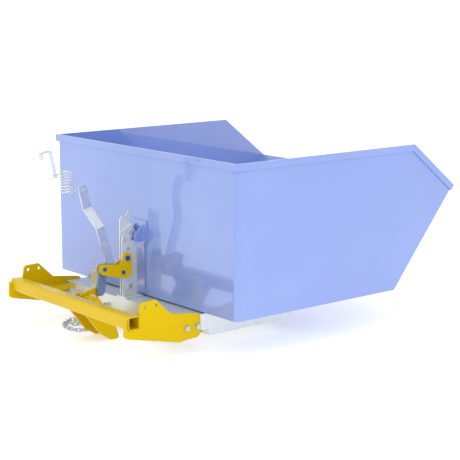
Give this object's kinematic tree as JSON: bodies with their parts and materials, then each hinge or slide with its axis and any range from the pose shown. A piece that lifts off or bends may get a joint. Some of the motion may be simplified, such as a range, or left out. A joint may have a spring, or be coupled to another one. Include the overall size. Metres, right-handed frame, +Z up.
{
  "type": "forklift self-tipping skip",
  "caption": "Sheet-steel tipping hopper hinged on a low fork-pocket base, latched at the rear and let go by a hanging trigger foot through a crank and pawl.",
  "frame": {"origin": "centre of the base's underside, between the fork pockets", "axes": "+Z up, +Y forward, the way the hopper tips, +X to the right"},
  "size_m": [1.21, 1.576, 0.7454],
  "materials": {
    "hopper_paint": "glossy blue paint",
    "frame_paint": "yellow paint",
    "pin_paint": "blue plated pin",
    "galvanised": "hot-dip galvanised",
    "zinc_fastener": "zinc plated",
    "strap_steel": "blue-grey steel",
    "bar_steel": "zinc plated bar",
    "spring_steel": "zinc plated wire",
    "chain_steel": "zinc plated",
    "pad_rubber": "matt",
    "plate_aluminium": "satin"
  },
  "bodies": {
    "base": {"base_bottom_plate": "galvanised", "base_front_plate": "galvanised", "base_rear_plate": "galvanised", "base_side_left": "galvanised", "base_side_right": "galvanised", "base_top_plate": "galvanised", "chain_eye": "chain_steel", "fork_pocket_left": "galvanised", "fork_pocket_right": "galvanised", "frame_bolts": "zinc_fastener", "frame_plate_left": "frame_paint", "frame_plate_right": "frame_paint", "frame_shelf_left": "frame_paint", "frame_shelf_right": "frame_paint", "frame_tube": "frame_paint", "hinge_lugs_left": "galvanised", "hinge_lugs_right": "galvanised", "hinge_pin_left": "zinc_fastener", "hinge_pin_right": "zinc_fastener", "pawl_pin": "zinc_fastener", "post_bolts": "zinc_fastener", "post_foot": "galvanised", "post_plate_left": "galvanised", "post_plate_right": "galvanised", "rest_pads": "pad_rubber", "trigger_pivot_lugs": "frame_paint", "trigger_pivot_pin": "pin_paint", "type_plate": "plate_aluminium", "type_plate_bracket": "galvanised"},
    "hopper": {"catch_back_plate": "hopper_paint", "catch_bar": "hopper_paint", "catch_gussets": "hopper_paint", "hinge_eye_left": "hopper_paint", "hinge_eye_right": "hopper_paint", "hopper_corner_left": "hopper_paint", "hopper_corner_right": "hopper_paint", "hopper_floor": "hopper_paint", "hopper_front_slope": "hopper_paint", "hopper_lip_bar": "hopper_paint", "hopper_rear_wall": "hopper_paint", "hopper_rim_left": "hopper_paint", "hopper_rim_rear": "hopper_paint", "hopper_rim_right": "hopper_paint", "hopper_side_left": "hopper_paint", "hopper_side_right": "hopper_paint"},
    "trigger": {"trigger_foot": "frame_paint", "trigger_arm": "frame_paint", "trigger_link_pin": "strap_steel"},
    "crank": {"crank_plate_left": "frame_paint", "crank_plate_right": "frame_paint", "release_lever": "bar_steel", "crank_pivot_pin": "pin_paint", "crank_link_pin": "pin_paint", "crank_cam_pin": "pin_paint"},
    "link": {"link_strap": "strap_steel"},
    "pawl": {"latch_pawl": "galvanised"},
    "spring": {"tension_spring": "spring_steel"},
    "hook": {"carriage_hook": "bar_steel"},
    "chain": {"safety_chain": "chain_steel"}
  },
  "joints": [
    {"name": "hopper_tip", "type": "hinge", "parent": "base", "child": "hopper", "pos_m": [0, 0.3145, 0.061], "axis": [-1, 0, 0], "range_deg": [0, 85]},
    {"name": "trigger_swing", "type": "hinge", "parent": "base", "child": "trigger", "pos_m": [0, -0.4455, 0.088], "axis": [1, 0, 0], "range_deg": [0, 26.5]},
    {"name": "crank_turn", "type": "hinge", "parent": "base", "child": "crank", "pos_m": [0, -0.2595, 0.194], "axis": [-1, 0, 0], "range_deg": [0, 16.2]},
    {"name": "link_turn", "type": "hinge", "parent": "crank", "child": "link", "pos_m": [0, -0.3465, 0.217], "axis": [-1, 0, 0], "range_deg": [0, 8.35]},
    {"name": "pawl_turn", "type": "hinge", "parent": "base", "child": "pawl", "pos_m": [0, -0.2315, 0.285], "axis": [1, 0, 0], "range_deg": [0, 21.3]},
    {"name": "spring_swing", "type": "hinge", "parent": "crank", "child": "spring", "pos_m": [-0.05, -0.3995, 0.529], "axis": [1, 0, 0], "range_deg": [-40, 50]},
    {"name": "hook_swing", "type": "hinge", "parent": "spring", "child": "hook", "pos_m": [-0.06, -0.5145, 0.594], "axis": [1, 0, 0], "range_deg": [-25, 25]},
    {"name": "chain_swing", "type": "hinge", "parent": "base", "child": "chain", "pos_m": [-0.1, -0.2755, 0.043], "axis": [-1, 0, 0], "range_deg": [0, 70]}
  ],
  "couplings": [
    {"joint": "crank_turn", "follows": "trigger_swing", "ratio": 0.61},
    {"joint": "link_turn", "follows": "trigger_swing", "ratio": 0.3136},
    {"joint": "pawl_turn", "follows": "trigger_swing", "ratio": 0.8}
  ]
}
